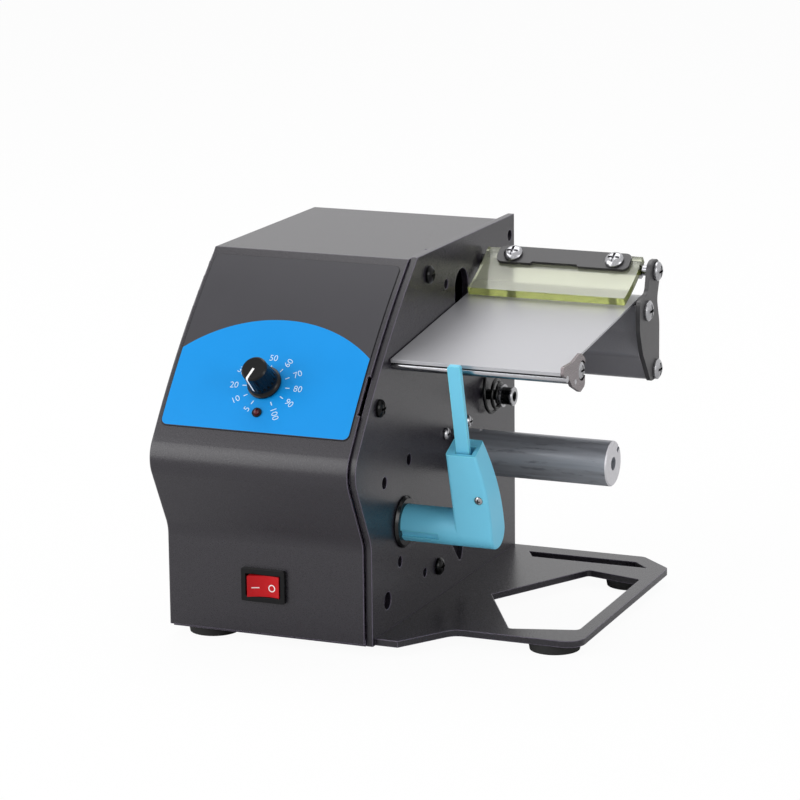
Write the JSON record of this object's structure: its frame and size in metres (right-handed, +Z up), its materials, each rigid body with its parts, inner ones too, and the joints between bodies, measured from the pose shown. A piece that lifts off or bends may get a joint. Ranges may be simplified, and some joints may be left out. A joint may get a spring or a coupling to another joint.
{
  "type": "label peeling machine",
  "caption": "Bench label peeler: folded metal housing with speed dial and rocker switch, peeling table with hinged clear flap, feeler arm and driven take-up shaft.",
  "frame": {"origin": "bottom centre of the whole machine, at the height of the feet", "axes": "+X to the right, towards the free ends of the shafts; +Y to the back; +Z up"},
  "size_m": [0.1858, 0.1902, 0.1684],
  "materials": {
    "powder_coat": "fine textured powder coat",
    "dark_steel": "satin",
    "dark_sheet": "satin",
    "bright_sheet": "brushed",
    "rod_steel": "ground",
    "clip_steel": "tumbled",
    "silver_screw": "nickel plated",
    "black_screw": "black oxide",
    "spring_steel": "black",
    "black_anodised": "dark anodised",
    "hub_black": "moulded",
    "arm_blue": "satin",
    "clear_urethane": "clear, yellow-green",
    "panel_film": "printed film",
    "black_plastic": "moulded",
    "white_paint": "paint",
    "red_plastic": "moulded",
    "lamp_lens": "moulded",
    "foot_rubber": "matt",
    "motor_steel": "plated",
    "board_green": "solder mask",
    "board_parts": "moulded",
    "nylon": "moulded"
  },
  "bodies": {
    "machine": {"side_plate": "powder_coat", "base_plate": "powder_coat", "rubber_feet": "foot_rubber", "foot_screws": "silver_screw", "base_angle": "powder_coat", "front_cover": "powder_coat", "rear_panel": "powder_coat", "rear_screws": "silver_screw", "dc_inlet": "black_plastic", "plate_screws": "black_screw", "control_overlay": "panel_film", "potentiometer": "motor_steel", "pot_nut": "silver_screw", "led_bezel": "black_plastic", "led_lens": "lamp_lens", "power_switch_body": "black_plastic", "gear_motor": "motor_steel", "motor_screws": "silver_screw", "hub_spring": "spring_steel", "microswitch": "black_plastic", "peel_table": "bright_sheet", "end_clip": "clip_steel", "clip_screw": "silver_screw", "tie_rods": "rod_steel", "end_bracket": "dark_steel", "bracket_screws": "silver_screw", "backing_guide": "dark_sheet", "tension_screw": "black_screw", "tension_washer": "silver_screw", "tension_spring": "spring_steel", "board_standoffs": "nylon", "circuit_board": "board_green", "board_components": "board_parts", "peel_rod": "rod_steel", "guide_wire": "rod_steel", "support_rod": "rod_steel"},
    "take_up": {"drive_shaft": "rod_steel", "take_up_shaft": "black_anodised", "take_up_grub": "silver_screw"},
    "flap": {"flap_shaft": "rod_steel", "press_flap": "clear_urethane", "clamp_strip": "dark_steel", "strip_screws": "silver_screw", "flap_end_screw": "silver_screw", "flap_retainer": "black_screw"},
    "feeler_hub": {"sensor_hub": "hub_black", "hub_ring": "black_screw", "hub_lever": "hub_black"},
    "feeler_arm": {"sensor_arm": "arm_blue", "arm_screw": "silver_screw"},
    "feeler": {"feeler_blade": "arm_blue"},
    "knob": {"speed_knob": "black_plastic", "knob_pointer": "white_paint", "pot_shaft": "silver_screw"},
    "rocker": {"power_rocker": "red_plastic"}
  },
  "joints": [
    {"name": "take_up_spin", "type": "hinge", "parent": "machine", "child": "take_up", "pos_m": [0.00554, 0.02762, 0.0694], "axis": [1, 0, 0], "continuous": true},
    {"name": "flap_tilt", "type": "hinge", "parent": "machine", "child": "flap", "pos_m": [0.00554, 0.05512, 0.1538], "axis": [1, 0, 0], "range_deg": [-95, 0]},
    {"name": "arm_swing", "type": "hinge", "parent": "machine", "child": "feeler_hub", "pos_m": [0.00554, -0.04058, 0.0523], "axis": [1, 0, 0], "range_deg": [0, 15], "stiffness_Nm_per_rad": 0.03, "springref_deg": -20.05},
    {"name": "arm_reach", "type": "slide", "parent": "feeler_hub", "child": "feeler_arm", "axis": [1, 0, 0], "range_m": [-0.017, 0.015]},
    {"name": "blade_height", "type": "slide", "parent": "feeler_arm", "child": "feeler", "axis": [0, -0.2419, 0.9703], "range_m": [-0.008, 0.012]},
    {"name": "speed_turn", "type": "hinge", "parent": "machine", "child": "knob", "pos_m": [-0.04576, -0.07383, 0.11822], "axis": [0, -0.7732, 0.6341], "range_deg": [-300, 0]},
    {"name": "rocker_tip", "type": "hinge", "parent": "machine", "child": "rocker", "pos_m": [-0.04546, -0.07688, 0.028], "axis": [0, 0, 1], "range_deg": [-18, 0]}
  ]
}
